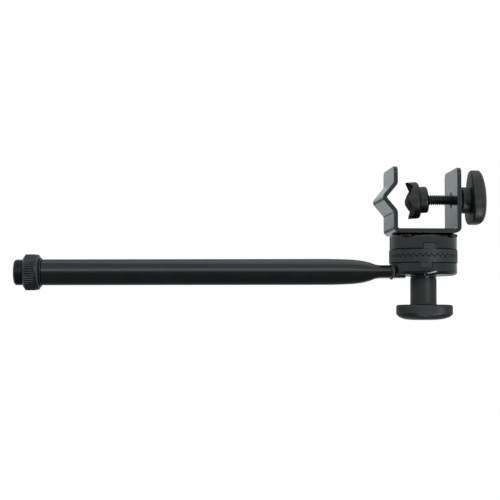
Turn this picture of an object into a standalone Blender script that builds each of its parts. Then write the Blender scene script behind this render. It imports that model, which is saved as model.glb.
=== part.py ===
"""Clamp-on side arm for a microphone stand.

A bent steel bracket clamps to an upright tube with a screw and a swivelling jaw. Under the bracket sits a
toothed clutch, and a steel tube welded to the clutch's lower half ends in a 5/8 in threaded stud with a lock ring.

Frame: metres, +Z up. The origin is the centre of a 3/4 in tube seated in the bracket's V. +Y runs along that
tube, +X along the clamp screw towards its knob. The clutch axis is parallel to Z.
"""

import math

import bmesh
import bpy
from mathutils import Matrix, Vector

MM = 0.001
INCH = 25.4 * MM
GAP = 0.3 * MM

# Clamped tube and bracket
POLE_R = 0.375 * INCH
V_HALF_ANGLE = math.radians(50)
SHEET = 2.5 * MM
BRACKET_WIDTH = 1.75 * INCH
THROAT = 35.7 * MM
V_DEPTH = 6.7 * MM
SCREW_HEIGHT = 21.0 * MM
LEFT_ARM_TOP = 39.7 * MM
RIGHT_ARM_TOP = 39.1 * MM
BEND_R = 2.2 * MM
V_BEND_R = 3.0 * MM
V_TIP_R = 1.9 * MM
ARM_CORNER_R = 4.0 * MM

V_TIP_X = -POLE_R / math.sin(V_HALF_ANGLE)
CLUTCH_OFFSET = 0.7 * MM
CLUTCH_X = V_TIP_X + V_DEPTH + THROAT / 2 + CLUTCH_OFFSET
SEAT_Z = -SCREW_HEIGHT

# Clutch, measured down from its seat under the bracket
CUP_R = 20.4 * MM
CUP_WALL = 1.6 * MM
CUP_CORNER_R = 2.0 * MM
DISC_R = 20.7 * MM
BOSS_R = CUP_R - CUP_WALL - GAP
UPPER_RIM = 9.4 * MM
TOOTH_PLANE = 13.3 * MM
LOWER_RIM = 17.65 * MM
CLUTCH_DEPTH = 24.8 * MM
TEETH = 36
TOOTH_HEIGHT = 2.0 * MM
TOOTH_INNER_R = 13.0 * MM
SPRING_POCKET = 2.6 * MM
KEY_WIDTH = 7.2 * MM
KEY_TURN = math.radians(1.8)
KEY_HEIGHT = 3.2 * MM
ARM_REST_ANGLE = math.radians(-6)

# Clutch bolt, 5/16 in, and its knob
BOLT_R = 0.15625 * INCH
BOLT_HEAD_FLATS = 0.5 * INCH
BOLT_HEAD_HEIGHT = 5.2 * MM
BOLT_LENGTH = 1.5 * INCH
WASHER_R = 7.9 * MM
WASHER_THICKNESS = 1.0 * MM
KNOB_R = 18.3 * MM
KNOB_BARREL_R = 7.97 * MM
KNOB_HEAD_DEPTH = 9.0 * MM
CLUTCH_KNOB_NECK = 42.7 * MM
INSERT_R = 5.7 * MM
INSERT_LENGTH = 11.0 * MM
KNOB_FILLET = 1.2 * MM
KNOB_CORNER = 1.8 * MM
KNOB_SIDE = 5.7 * MM
LOBES = 3
KNOB_STEPS = 60
CLUTCH_KNOB_LOBE = math.radians(90)
CLAMP_KNOB_LOBE = math.radians(90)
LOBE_HEIGHT = 0.2

# Clamp screw, 1/4 in, with its jaw and knob, measured along X from the clutch axis
SCREW_R = 0.125 * INCH
NOSE_R = 2.2 * MM
NOSE_LENGTH = 5.6 * MM
GROOVE_R = 1.7 * MM
RETAINER_R = 4.3 * MM
SCREW_HEAD_FLATS = 0.4375 * INCH
SCREW_HEAD_HEIGHT = 4.2 * MM
NUT_R = 6.3 * MM
NUT_SHANK_R = 4.6 * MM
NUT_HEIGHT = 3.2 * MM
JAW_PIVOT = -2.6 * MM
JAW_REACH = 7.2 * MM
JAW_FLANGE_LENGTH = 7.3 * MM
JAW_HUB_LENGTH = 5.1 * MM
JAW_FLANGE_R = 11.1 * MM
JAW_HUB_R = 8.0 * MM
JAW_WEB = 2.5 * MM
JAW_GROOVE_DEPTH = 3.6 * MM
JAW_GROOVE_TILT = math.radians(43)
JAW_TILT = math.radians(4.3)
JAW_TILT_AXIS = (0, -0.94, -0.35)
CLAMP_KNOB_BACK = 23.6 * MM
CLAMP_KNOB_NECK = 28.4 * MM

# Boom tube and stud, measured along the arm from the clutch axis
TUBE_R = 0.3125 * INCH
TUBE_WALL = 1.5 * MM
TUBE_END = 232.0 * MM
ARM_DROP = 22.5 * MM
TONGUE_REACH = 11.0 * MM
SQUASH = ((26.0, 3.75), (29.0, 4.15), (32.2, 5.4), (38.2, 6.85), (44.3, 7.5), (50.3, 7.75), (58.0, 7.9375))
STUD_R = 0.3125 * INCH
STUD_END = 248.9 * MM
STUD_CHAMFER = 1.0 * MM
COLLAR_R = 8.8 * MM
COLLAR_LENGTH = 0.8 * MM
SPIGOT_LENGTH = 14.0 * MM
RING_R = 11.0 * MM
RING_START = 233.4 * MM
RING_END = 243.4 * MM
RING_KNURLS = 44
KNURL_DEPTH = 0.45 * MM

ROUND = 40
WELD_R = 1.1 * MM


def clear_scene():
    for item in list(bpy.data.objects):
        bpy.data.objects.remove(item)


def material(name, colour, roughness, metallic):
    made = bpy.data.materials.new(name)
    made.use_nodes = True
    shader = made.node_tree.nodes["Principled BSDF"]
    shader.inputs["Base Color"].default_value = (*colour, 1.0)
    shader.inputs["Roughness"].default_value = roughness
    shader.inputs["Metallic"].default_value = metallic
    return made


def pivot(name, location, turn_z=0.0, parent=None):
    """An empty on an axis that pieces are parented to."""
    empty = bpy.data.objects.new(name, None)
    empty.location = location
    empty.rotation_euler = (0, 0, turn_z)
    empty.parent = parent
    bpy.context.collection.objects.link(empty)
    return empty


def add_piece(name, mesh, finish, parent=None, smooth=True):
    piece = bpy.data.objects.new(name, mesh)
    mesh.materials.append(finish)
    if smooth:
        mesh.shade_smooth()
        mesh.set_sharp_from_angle(angle=math.radians(35))
    piece.parent = parent
    bpy.context.collection.objects.link(piece)
    return piece


def finish_mesh(name, bm):
    """Faces out, then from bmesh to mesh."""
    bmesh.ops.recalc_face_normals(bm, faces=bm.faces)
    mesh = bpy.data.meshes.new(name)
    bm.to_mesh(mesh)
    bm.free()
    return mesh


def skin(name, loops):
    """A closed solid over a closed run of equally long loops. A loop that is one point closes like a cone."""
    bm = bmesh.new()
    rings = [[bm.verts.new(point) for point in loop] for loop in loops]
    count = max(len(ring) for ring in rings)
    for ring, following in zip(rings, rings[1:] + rings[:1]):
        for k in range(count):
            corners = [ring[k % len(ring)], ring[(k + 1) % len(ring)]]
            corners += [following[(k + 1) % len(following)], following[k % len(following)]]
            corners = list(dict.fromkeys(corners))
            if len(corners) > 2:
                bm.faces.new(corners)
    return finish_mesh(name, bm)


def lathe(name, outline, along="Z", segments=ROUND, shape=None):
    """Turns a closed outline of (radius, height) points. shape(radius, height, angle) may bend each ring."""
    loops = []
    for radius, height in outline:
        loop = []
        for k in range(segments if radius > 0 else 1):
            angle = math.tau * k / segments
            r, h = shape(radius, height, angle) if shape else (radius, height)
            across, up = r * math.cos(angle), r * math.sin(angle)
            loop.append((across, up, h) if along == "Z" else (h, across, up))
        loops.append(loop)
    return skin(name, loops)


def prism(name, outline, low, high, along="Y"):
    """Extrudes a closed outline between two planes. Along Y the outline is (x, z), along Z (x, y), along X (y, z)."""
    order = {"X": lambda a, b, t: (t, a, b), "Y": lambda a, b, t: (a, t, b), "Z": lambda a, b, t: (a, b, t)}[along]
    bm = bmesh.new()
    ends = [[bm.verts.new(order(a, b, t)) for a, b in outline] for t in (low, high)]
    for end in ends:
        bm.faces.new(end)
    for k in range(len(outline)):
        following = (k + 1) % len(outline)
        bm.faces.new((ends[0][k], ends[0][following], ends[1][following], ends[1][k]))
    return finish_mesh(name, bm)


def hexagon(flats):
    corner = flats / math.sqrt(3)
    return [(corner * math.cos(math.tau * k / 6), corner * math.sin(math.tau * k / 6)) for k in range(6)]


def combine(target, tool_mesh, operation):
    """A Boolean with a tool that has the target's place."""
    tool = bpy.data.objects.new(target.name + "_tool", tool_mesh)
    tool.parent = target.parent
    tool.matrix_local = target.matrix_local.copy()
    tool.display_type = "WIRE"
    tool.hide_render = True
    bpy.context.collection.objects.link(tool)
    step = target.modifiers.new(operation.lower(), "BOOLEAN")
    step.operation = operation
    step.object = tool
    step.solver = "EXACT"


def wire_piece(name, points, radius, finish, parent=None):
    """A round bar along points, with flat ends."""
    curve = bpy.data.curves.new(name, "CURVE")
    curve.dimensions = "3D"
    curve.bevel_depth = radius
    curve.bevel_resolution = 2
    curve.use_fill_caps = True
    spline = curve.splines.new("POLY")
    spline.points.add(len(points) - 1)
    for place, point in zip(spline.points, points):
        place.co = (*point, 1.0)
    curve.materials.append(finish)
    piece = bpy.data.objects.new(name, curve)
    piece.parent = parent
    bpy.context.collection.objects.link(piece)
    return piece


# --- bracket -------------------------------------------------------------------------------------------------


def bent_strip(path, radii, thickness, bend_steps=5):
    """The outline of a strip of sheet bent along a path, each inner corner rounded to its own middle radius."""
    middle = [(Vector(path[0]), (Vector(path[1]) - Vector(path[0])).normalized())]
    for before, corner, after, radius in zip(path, path[1:], path[2:], radii):
        incoming = (Vector(corner) - Vector(before)).normalized()
        outgoing = (Vector(after) - Vector(corner)).normalized()
        turn = incoming.angle_signed(outgoing)
        side = Vector((-incoming.y, incoming.x)) * (-1 if turn > 0 else 1)
        start = Vector(corner) - incoming * radius * math.tan(abs(turn) / 2)
        centre = start + side * radius
        for k in range(bend_steps + 1):
            turned = Matrix.Rotation(-turn * k / bend_steps, 2)
            middle.append((centre - turned @ (side * radius), turned @ incoming))
    middle.append((Vector(path[-1]), (Vector(path[-1]) - Vector(path[-2])).normalized()))
    left = [point + Vector((-ahead.y, ahead.x)) * thickness / 2 for point, ahead in middle]
    right = [point - Vector((-ahead.y, ahead.x)) * thickness / 2 for point, ahead in middle]
    return [tuple(point) for point in left + right[::-1]]


def make_bracket(finish, seat):
    wall = THROAT / 2 + SHEET / 2
    tip = THROAT / 2 + V_DEPTH + SHEET / 2 / math.sin(V_HALF_ANGLE)
    rise = (tip - wall) * math.tan(V_HALF_ANGLE)
    path = [
        (-wall, LEFT_ARM_TOP),
        (-wall, SCREW_HEIGHT + rise),
        (-tip, SCREW_HEIGHT),
        (-wall, SCREW_HEIGHT - rise),
        (-wall, SHEET / 2),
        (wall, SHEET / 2),
        (wall, RIGHT_ARM_TOP),
    ]
    radii = (V_BEND_R, V_TIP_R, V_BEND_R, BEND_R, BEND_R)
    outline = bent_strip(path, radii, SHEET)
    mesh = prism("clamp_bracket", outline, -BRACKET_WIDTH / 2, BRACKET_WIDTH / 2)
    mesh.transform(Matrix.Translation((-CLUTCH_OFFSET, 0, 0)))
    bm = bmesh.new()
    bm.from_mesh(mesh)
    corners = [
        edge
        for edge in bm.edges
        if abs(edge.verts[0].co.y - edge.verts[1].co.y) < 1e-6
        and abs(edge.verts[0].co.z - edge.verts[1].co.z) < 1e-6
        and edge.verts[0].co.z > RIGHT_ARM_TOP - MM
    ]
    bmesh.ops.bevel(bm, geom=corners, offset=ARM_CORNER_R, segments=6, profile=0.5, affect="EDGES")
    bm.to_mesh(mesh)
    bm.free()
    bracket = add_piece("clamp_bracket", mesh, finish, seat)
    low, high = THROAT / 2 - 2 * MM, THROAT / 2 + SHEET + MM
    hole = [(0, low), (NUT_SHANK_R + GAP, low), (NUT_SHANK_R + GAP, high), (0, high)]
    cutter = lathe("screw_hole", hole, "X", 32)
    cutter.transform(Matrix.Translation((0, 0, SCREW_HEIGHT)))
    combine(bracket, cutter, "DIFFERENCE")
    return bracket


def make_bracket_welds(finish, seat):
    """Four beads in the corners between the cup's wall and the overhanging bracket base."""
    reach = CUP_R + GAP + WELD_R
    for number, middle in enumerate((41, 127, 233, 319), 1):
        angles = [math.radians(middle + sweep) for sweep in range(-9, 10, 3)]
        points = [(reach * math.cos(a), reach * math.sin(a), -GAP - WELD_R) for a in angles]
        wire_piece(f"bracket_weld_{number}", points, WELD_R, finish, seat)


# --- clutch --------------------------------------------------------------------------------------------------


def cup_outline(floor, rim, towards):
    """A drawn cup's half section. The floor's outer face is at floor, the open rim at rim, both signed heights."""
    corner = (CUP_R - CUP_CORNER_R, floor + towards * CUP_CORNER_R)
    inner = CUP_R - CUP_WALL
    outer = [
        (corner[0] + CUP_CORNER_R * math.sin(a), corner[1] - towards * CUP_CORNER_R * math.cos(a))
        for a in (math.radians(18 * k) for k in range(6))
    ]
    return outer + [(CUP_R, rim), (inner, rim), (inner, floor + towards * CUP_WALL)]


def key_block(extra, low, high, outer):
    """The block of a disc's key, or with extra its notch in the cup, a little round from the -Y side."""
    half = KEY_WIDTH / 2 + extra
    outline = [(-half, -outer), (half, -outer), (half, -BOSS_R + MM), (-half, -BOSS_R + MM)]
    block = prism("key", outline, low, high, "Z")
    block.transform(Matrix.Rotation(KEY_TURN, 4, "Z"))
    return block


def make_cups(finish, seat, arm):
    upper = [(0, 0), *cup_outline(0, -UPPER_RIM + GAP / 2, -1), (0, -CUP_WALL)]
    upper_cup = add_piece("upper_cup", lathe("upper_cup", upper), finish, seat)
    notch = key_block(GAP, -UPPER_RIM - MM, -UPPER_RIM + KEY_HEIGHT + GAP, CUP_R + MM)
    combine(upper_cup, notch, "DIFFERENCE")

    bolt_hole = BOLT_R + 2 * GAP
    rim = -LOWER_RIM - GAP / 2
    lower = [(bolt_hole, -CLUTCH_DEPTH), *cup_outline(-CLUTCH_DEPTH, rim, 1), (bolt_hole, -CLUTCH_DEPTH + CUP_WALL)]
    lower_cup = add_piece("lower_cup", lathe("lower_cup", lower), finish, arm)
    notch = key_block(GAP, -LOWER_RIM - KEY_HEIGHT - GAP, -LOWER_RIM + MM, CUP_R + MM)
    combine(lower_cup, notch, "DIFFERENCE")


def toothed(plane):
    """Bends the rings in the tooth plane into a zigzag that grows with the radius, so that its flanks are flat."""

    def shape(radius, height, angle):
        if abs(height - plane) > 1e-9:
            return radius, height
        crest = round(angle / math.tau * TEETH * 2) % 2
        return radius, height + (crest - 0.5) * TOOTH_HEIGHT * radius / DISC_R

    return shape


def make_discs(finish, seat, arm):
    bore = BOLT_R + 2 * GAP
    plane = -TOOTH_PLANE + GAP / 2
    pocket = -TOOTH_PLANE + SPRING_POCKET
    top = -CUP_WALL - GAP
    upper = [
        (bore, pocket), (TOOTH_INNER_R, pocket), (TOOTH_INNER_R, plane), (DISC_R, plane),
        (DISC_R, -UPPER_RIM - GAP / 2), (BOSS_R, -UPPER_RIM - GAP / 2), (BOSS_R, top), (bore, top),
    ]  # fmt: skip
    mesh = lathe("upper_toothed_disc", upper, "Z", 2 * TEETH, toothed(plane))
    disc = add_piece("upper_toothed_disc", mesh, finish, seat)
    combine(disc, key_block(0, -UPPER_RIM - MM, -UPPER_RIM + KEY_HEIGHT, CUP_R - GAP / 2), "UNION")
    pocket_hex = hexagon(BOLT_HEAD_FLATS + 2 * GAP)
    combine(disc, prism("head_pocket", pocket_hex, top - BOLT_HEAD_HEIGHT - 2 * GAP, top + MM, "Z"), "DIFFERENCE")

    plane = -TOOTH_PLANE - GAP / 2
    pocket = -TOOTH_PLANE - SPRING_POCKET
    floor = -CLUTCH_DEPTH + CUP_WALL + GAP
    lower = [
        (bore, floor), (BOSS_R, floor), (BOSS_R, -LOWER_RIM + GAP / 2), (DISC_R, -LOWER_RIM + GAP / 2),
        (DISC_R, plane), (TOOTH_INNER_R, plane), (TOOTH_INNER_R, pocket), (bore, pocket),
    ]  # fmt: skip
    mesh = lathe("lower_toothed_disc", lower, "Z", 2 * TEETH, toothed(plane))
    mesh.transform(Matrix.Rotation(-ARM_REST_ANGLE, 4, "Z"))
    disc = add_piece("lower_toothed_disc", mesh, finish, arm)
    combine(disc, key_block(0, -LOWER_RIM - KEY_HEIGHT, -LOWER_RIM + MM, CUP_R - GAP / 2), "UNION")


def mitred_wire(name, points, radius, sides):
    """A bar of straight lengths that meet in mitre planes, so that each of its facets is flat."""
    points = [Vector(point) for point in points]
    runs = [(following - point).normalized() for point, following in zip(points, points[1:])]
    mitres = [(run + following).normalized() for run, following in zip(runs, runs[1:])] + [runs[-1]]
    across = runs[0].cross(Vector((0, 0, 1))).normalized() * radius
    up = across.cross(runs[0])
    angles = [math.tau * k / sides for k in range(sides)]
    ring = [points[0] + across * math.cos(angle) + up * math.sin(angle) for angle in angles]
    loops = [[points[0]], ring]
    for run, point, mitre in zip(runs, points[1:], mitres):
        ring = [corner + run * ((point - corner).dot(mitre) / run.dot(mitre)) for corner in ring]
        loops.append(ring)
    return skin(name, loops + [[points[-1]]])


def make_spring(finish, seat):
    """The release spring that lifts the teeth apart."""
    wire = 0.6 * MM
    coil = 6.9 * MM
    turns = 3.5
    steps = 56
    reach = SPRING_POCKET - GAP - wire
    points = []
    for k in range(steps + 1):
        angle = math.tau * turns * k / steps
        height = -TOOTH_PLANE + reach * (1 - 2 * k / steps)
        points.append((coil * math.cos(angle), coil * math.sin(angle), height))
    add_piece("clutch_spring", mitred_wire("clutch_spring", points, wire, 6), finish, seat)


def make_bolt(finish, seat):
    head_top = -CUP_WALL - 2 * GAP
    shoulder = head_top - BOLT_HEAD_HEIGHT
    end = shoulder - BOLT_LENGTH
    point = 1.2 * MM
    shank = [(0, shoulder + MM), (BOLT_R, shoulder + MM), (BOLT_R, end + point), (BOLT_R - point, end), (0, end)]
    bolt = add_piece("clutch_bolt", lathe("clutch_bolt", shank, "Z", 32), finish, seat)
    combine(bolt, prism("bolt_head", hexagon(BOLT_HEAD_FLATS), shoulder, head_top, "Z"), "UNION")


# --- knobs ---------------------------------------------------------------------------------------------------


def lobed(first_lobe):
    """Draws in the rings of a knob's head along a wave, full at its rim and fading to nothing at its barrel."""
    inner, outer = KNOB_BARREL_R + KNOB_FILLET, KNOB_R - KNOB_CORNER

    def shape(radius, height, angle):
        dip = LOBE_HEIGHT * (1 - math.cos(LOBES * (angle - first_lobe))) / 2
        weight = min(max((radius - inner) / (outer - inner), 0), 1)
        return radius * (1 - dip * weight), height

    return shape


def knob_outline(back, neck, direction):
    """A knob's outer half section from its barrel's end to the axis. direction is the sign along its axis."""
    edge = 1.5 * MM
    head = [(KNOB_BARREL_R + KNOB_FILLET, 0), (KNOB_R - edge, 0), (KNOB_R - 0.3 * edge, 0.3 * edge)]
    head += [(KNOB_R, edge), (KNOB_R, KNOB_SIDE), (KNOB_R - 0.5 * MM, KNOB_SIDE + 0.8 * MM)]
    crown_r = KNOB_R - KNOB_CORNER
    rise = KNOB_HEAD_DEPTH - KNOB_SIDE - 1.5 * MM
    head += [(crown_r * part, KNOB_HEAD_DEPTH - rise * part**4) for part in (1, 0.78, 0.5, 0)]
    outline = [(KNOB_BARREL_R, back), (KNOB_BARREL_R, neck - direction * KNOB_FILLET)]
    return outline + [(radius, neck + direction * depth) for radius, depth in head]


def make_clutch_knob(plastic, brass, axis):
    back = -CLUTCH_DEPTH - WASHER_THICKNESS - 2 * GAP
    pocket_end = back - INSERT_LENGTH - 2 * GAP
    bore = BOLT_R + 2 * GAP
    bore_end = -48.0 * MM
    pocket_r = INSERT_R + GAP
    inside = [(0, bore_end), (bore, bore_end), (bore, pocket_end), (pocket_r, pocket_end), (pocket_r, back)]
    outline = inside + knob_outline(back, -CLUTCH_KNOB_NECK, -1)
    mesh = lathe("clutch_knob", outline, "Z", KNOB_STEPS, lobed(CLUTCH_KNOB_LOBE))
    add_piece("clutch_knob", mesh, plastic, axis)
    top = back - GAP
    thread = BOLT_R + GAP
    insert = [(thread, top), (INSERT_R, top), (INSERT_R, top - INSERT_LENGTH), (thread, top - INSERT_LENGTH)]
    add_piece("clutch_knob_insert", lathe("clutch_knob_insert", insert, "Z", 32), brass, axis)


def make_washer(steel, seat):
    top = -CLUTCH_DEPTH - GAP
    hole = BOLT_R + GAP
    ring = [(hole, top), (WASHER_R, top), (WASHER_R, top - WASHER_THICKNESS), (hole, top - WASHER_THICKNESS)]
    add_piece("thrust_washer", lathe("thrust_washer", ring), steel, seat)


# --- clamp screw and jaw -------------------------------------------------------------------------------------


def make_screw(steel, axis):
    head_back = CLAMP_KNOB_BACK + 2.0 * MM
    shoulder = JAW_PIVOT + JAW_WEB / 2 + 2 * GAP
    nose = shoulder - NOSE_LENGTH
    groove_back = JAW_PIVOT - JAW_WEB / 2 - 2 * GAP
    groove_front = groove_back - 1.0 * MM
    outline = [
        (0, nose), (NOSE_R, nose), (NOSE_R, groove_front), (GROOVE_R, groove_front), (GROOVE_R, groove_back),
        (NOSE_R, groove_back), (NOSE_R, shoulder), (SCREW_R, shoulder), (SCREW_R, head_back + MM),
        (0, head_back + MM),
    ]  # fmt: skip
    screw = add_piece("clamp_screw", lathe("clamp_screw", outline, "X", 32), steel, axis)
    head = prism("screw_head", hexagon(SCREW_HEAD_FLATS), head_back, head_back + SCREW_HEAD_HEIGHT, "X")
    combine(screw, head, "UNION")
    low, high = groove_front + 0.1 * MM, groove_back - 0.1 * MM
    ring = [(GROOVE_R + 0.2 * MM, low), (RETAINER_R, low), (RETAINER_R, high), (GROOVE_R + 0.2 * MM, high)]
    add_piece("jaw_retaining_ring", lathe("jaw_retaining_ring", ring, "X", 32), steel, axis)


def make_clamp_knob(plastic, axis):
    outline = [(SCREW_R + GAP, CLAMP_KNOB_BACK), *knob_outline(CLAMP_KNOB_BACK, CLAMP_KNOB_NECK, 1)]
    pocket_low = CLAMP_KNOB_BACK + 2.0 * MM - GAP
    pocket_high = pocket_low + SCREW_HEAD_HEIGHT + 2 * GAP
    pocket_r = (SCREW_HEAD_FLATS + 2 * GAP) / math.sqrt(3)
    inside = [(0, pocket_high), (pocket_r, pocket_high), (pocket_r, pocket_low), (SCREW_R + GAP, pocket_low)]
    mesh = lathe("clamp_knob", inside + outline, "X", KNOB_STEPS, lobed(CLAMP_KNOB_LOBE))
    add_piece("clamp_knob", mesh, plastic, axis)


def make_nut(steel, axis):
    inner = THROAT / 2 - CLUTCH_OFFSET + 0.1 * MM
    face = THROAT / 2 - CLUTCH_OFFSET + SHEET + GAP
    thread = SCREW_R + GAP
    outline = [
        (thread, inner), (NUT_SHANK_R, inner), (NUT_SHANK_R, face), (NUT_R, face),
        (NUT_R, face + NUT_HEIGHT), (thread, face + NUT_HEIGHT),
    ]  # fmt: skip
    add_piece("screw_nut", lathe("screw_nut", outline, "X", 32), steel, axis)


def make_jaw(plastic, pivot_point):
    """A crown-faced pad: two crossing V grooves leave four points. It tilts about the middle of its web."""
    front = -JAW_REACH
    flange_back = front + JAW_FLANGE_LENGTH
    back = flange_back + JAW_HUB_LENGTH
    flange_chamfer, hub_chamfer = 1.6 * MM, 1.2 * MM
    screw_bore = SCREW_R + 3 * GAP
    nose_bore = NOSE_R + 2 * GAP
    recess_r = RETAINER_R + 3 * GAP
    outline = [
        (JAW_FLANGE_R, front), (JAW_FLANGE_R, flange_back - flange_chamfer),
        (JAW_FLANGE_R - flange_chamfer, flange_back), (JAW_HUB_R, flange_back),
        (JAW_HUB_R, back - hub_chamfer), (JAW_HUB_R - hub_chamfer, back), (screw_bore, back),
        (screw_bore, JAW_WEB / 2), (nose_bore, JAW_WEB / 2), (nose_bore, -JAW_WEB / 2),
        (recess_r, -JAW_WEB / 2), (recess_r, front),
    ]  # fmt: skip
    jaw = add_piece("jaw_pad", lathe("jaw_pad", outline, "X"), plastic, pivot_point)
    jaw.matrix_local = Matrix.Rotation(JAW_TILT, 4, JAW_TILT_AXIS)
    half = JAW_FLANGE_R * math.sin(math.radians(45))
    wedge = [(front - MM, -half - MM), (front - MM, half + MM), (front + JAW_GROOVE_DEPTH, 0)]
    for turn in (JAW_GROOVE_TILT, JAW_GROOVE_TILT + math.pi / 2):
        groove = prism("jaw_groove", wedge, -2 * JAW_FLANGE_R, 2 * JAW_FLANGE_R)
        groove.transform(Matrix.Rotation(turn, 4, "X"))
        combine(jaw, groove, "DIFFERENCE")


# --- arm -----------------------------------------------------------------------------------------------------


def stadium(half_height, x, inset=0.0):
    """A flattened tube's section: its girth stays that of the round tube. inset is the wall's thickness."""
    half_width = half_height + math.pi / 2 * (TUBE_R - half_height)
    radius = half_height - inset
    flat = half_width - half_height
    loop = []
    for k in range(ROUND):
        angle = math.tau * (k + 0.5) / ROUND
        side = math.copysign(flat, math.cos(angle))
        loop.append((x, side + radius * math.cos(angle), -ARM_DROP + radius * math.sin(angle)))
    return loop


def make_tube(finish, arm):
    stations = [(TONGUE_REACH, SQUASH[0][1] * MM)] + [(x * MM, h * MM) for x, h in SQUASH] + [(TUBE_END, TUBE_R)]
    outer = [stadium(height, -x) for x, height in stations]
    inner = [stadium(height, -x, TUBE_WALL) for x, height in reversed(stations)]
    tube = add_piece("boom_tube", skin("boom_tube", outer + inner), finish, arm)
    low = -CLUTCH_DEPTH - GAP
    cope_r = CUP_R + GAP
    cope = [(0, low), (cope_r, low), (cope_r, -10 * MM), (0, -10 * MM)]
    combine(tube, lathe("cope", cope, "Z", 64), "DIFFERENCE")


def make_arm_welds(finish, arm):
    """A bead down each side of the flattened tube, where it meets the cup's wall."""
    offset = SQUASH[0][1] * MM + GAP + WELD_R
    flat = math.pi / 2 * (TUBE_R - SQUASH[0][1] * MM)
    reach = CUP_R + GAP + WELD_R
    for number, side in enumerate((-1, 1), 1):
        points = []
        for angle in (math.radians(-50 + 14 * k) for k in range(7)):
            y = side * (flat + offset * math.cos(angle))
            points.append((-math.sqrt(reach**2 - y**2), y, -ARM_DROP + offset * math.sin(angle)))
        wire_piece(f"arm_weld_{number}", points, WELD_R, finish, arm)


def make_stud(finish, arm):
    spigot_r = TUBE_R - TUBE_WALL - GAP
    collar = TUBE_END + GAP
    root = collar + COLLAR_LENGTH
    outline = [
        (0, -(TUBE_END - SPIGOT_LENGTH)), (spigot_r, -(TUBE_END - SPIGOT_LENGTH)), (spigot_r, -collar),
        (COLLAR_R, -collar), (COLLAR_R, -root), (STUD_R, -root), (STUD_R, -STUD_END + STUD_CHAMFER),
        (STUD_R - STUD_CHAMFER, -STUD_END), (0, -STUD_END),
    ]  # fmt: skip
    stud = add_piece("threaded_stud", lathe("threaded_stud", outline, "X"), finish, arm)
    stud.location = (0, 0, -ARM_DROP)


def make_lock_ring(finish, axis):
    """A knurled nut with straight knurls, a plain rim on the tube side and a round nose on the free side."""

    def knurled(radius, height, angle):
        groove = round(angle / math.tau * RING_KNURLS * 2) % 2
        in_knurl = -RING_END + 1.2 * MM < height < -RING_START - 2.4 * MM
        return (radius - KNURL_DEPTH * groove if in_knurl and radius > RING_R - MM else radius), height

    bore = STUD_R + GAP
    start, end = -RING_START, -RING_END
    outline = [
        (bore, start), (RING_R - 1.3 * MM, start), (RING_R - 0.2 * MM, start - 1.3 * MM),
        (RING_R - 0.2 * MM, start - 2.3 * MM), (RING_R, start - 2.5 * MM), (RING_R, end + 2.2 * MM),
        (RING_R - 0.7 * MM, end + 0.9 * MM), (RING_R - 1.9 * MM, end), (bore, end),
    ]  # fmt: skip
    mesh = lathe("lock_ring", outline, "X", 2 * RING_KNURLS, knurled)
    add_piece("lock_ring", mesh, finish, axis)


def main():
    clear_scene()
    paint = material("gloss_black_paint", (0.02, 0.021, 0.023), 0.22, 0.0)
    plastic = material("black_plastic", (0.025, 0.025, 0.027), 0.45, 0.0)
    nylon = material("clutch_nylon", (0.03, 0.031, 0.034), 0.5, 0.0)
    black_steel = material("black_steel", (0.04, 0.04, 0.045), 0.35, 0.9)
    zinc_steel = material("zinc_steel", (0.6, 0.6, 0.62), 0.35, 1.0)
    brass = material("brass", (0.75, 0.55, 0.25), 0.3, 1.0)

    seat = pivot("clutch_seat", (CLUTCH_X, 0, SEAT_Z))
    arm = pivot("arm_pivot", (0, 0, 0), ARM_REST_ANGLE, seat)
    screw_axis = pivot("screw_axis", (CLUTCH_X, 0, 0))
    jaw_pivot = pivot("jaw_pivot", (JAW_PIVOT, 0, 0), 0, screw_axis)
    ring_axis = pivot("ring_axis", (0, 0, -ARM_DROP), 0, arm)

    make_bracket(paint, seat)
    make_bracket_welds(paint, seat)
    make_cups(paint, seat, arm)
    make_discs(nylon, seat, arm)
    make_spring(zinc_steel, seat)
    make_bolt(zinc_steel, seat)
    make_washer(black_steel, seat)
    make_clutch_knob(plastic, brass, seat)
    make_nut(black_steel, screw_axis)
    make_screw(black_steel, screw_axis)
    make_clamp_knob(plastic, screw_axis)
    make_jaw(plastic, jaw_pivot)
    make_tube(paint, arm)
    make_arm_welds(paint, arm)
    make_stud(black_steel, arm)
    make_lock_ring(black_steel, ring_axis)


main()
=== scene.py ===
"""Looks for the clamp-on side arm: the fine surface of each piece, its finish, the light and the camera.

Each piece is built in its own frame, with its axis along Z where it is turned, and is then put where the
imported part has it. The row frame is in metres, +Z up, with its origin at the centre of the clamped tube.
"""

import math

import bmesh
import bpy
from mathutils import Matrix, Vector, noise


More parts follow.
